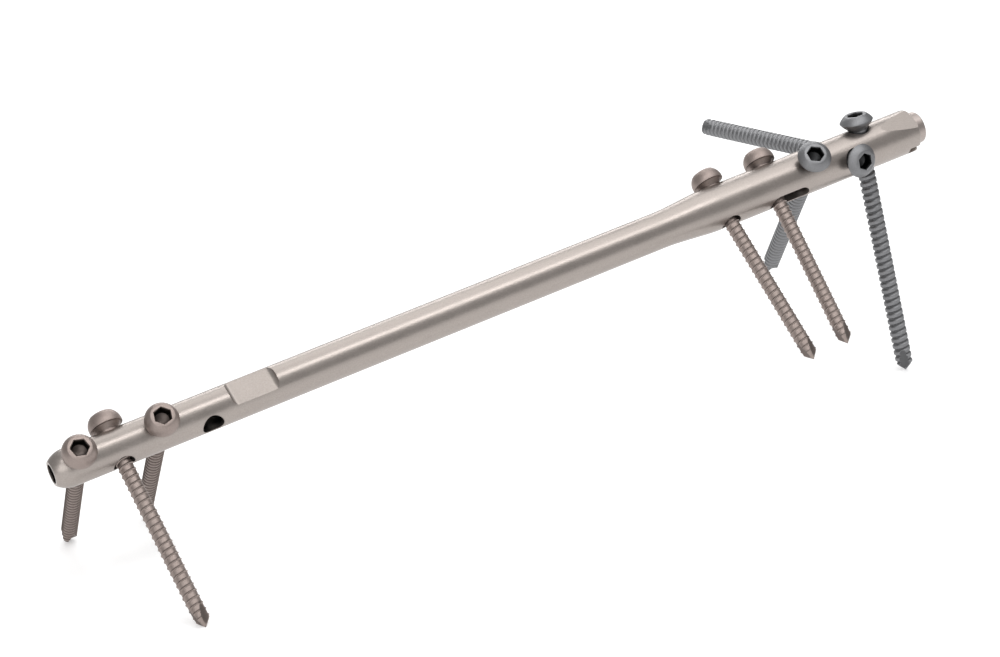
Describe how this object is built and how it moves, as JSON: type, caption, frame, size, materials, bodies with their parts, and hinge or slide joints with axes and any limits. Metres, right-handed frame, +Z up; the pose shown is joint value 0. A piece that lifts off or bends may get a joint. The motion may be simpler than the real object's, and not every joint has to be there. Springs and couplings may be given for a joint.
{
  "type": "intramedullary nail",
  "caption": "Straight cannulated intramedullary nail with its cross-locking screws and end cap in place, lying on its screw tips.",
  "frame": {"origin": "centre of the bounding box's base, on the surface that the screw tips stand on", "axes": "+X along the nail from its distal tip to its proximal end, which rises at a small angle; +Z up as it rests on three screw tips"},
  "size_m": [0.3014, 0.1188, 0.0891],
  "materials": {
    "nail_titanium": "satin, blasted titanium alloy",
    "cap_titanium": "satin, anodised titanium alloy",
    "bronze_titanium": "satin, brownish anodised titanium alloy",
    "dark_titanium": "satin, dark grey anodised titanium alloy"
  },
  "bodies": {
    "root": {"nail": "nail_titanium", "end_cap": "cap_titanium", "static_screw": "bronze_titanium", "slot_screw": "bronze_titanium", "distal_screw_1": "bronze_titanium", "distal_screw_2": "bronze_titanium", "distal_screw_3": "bronze_titanium", "sagittal_bone_screw": "dark_titanium", "oblique_bone_screw_1": "dark_titanium", "oblique_bone_screw_2": "dark_titanium"}
  },
  "joints": []
}
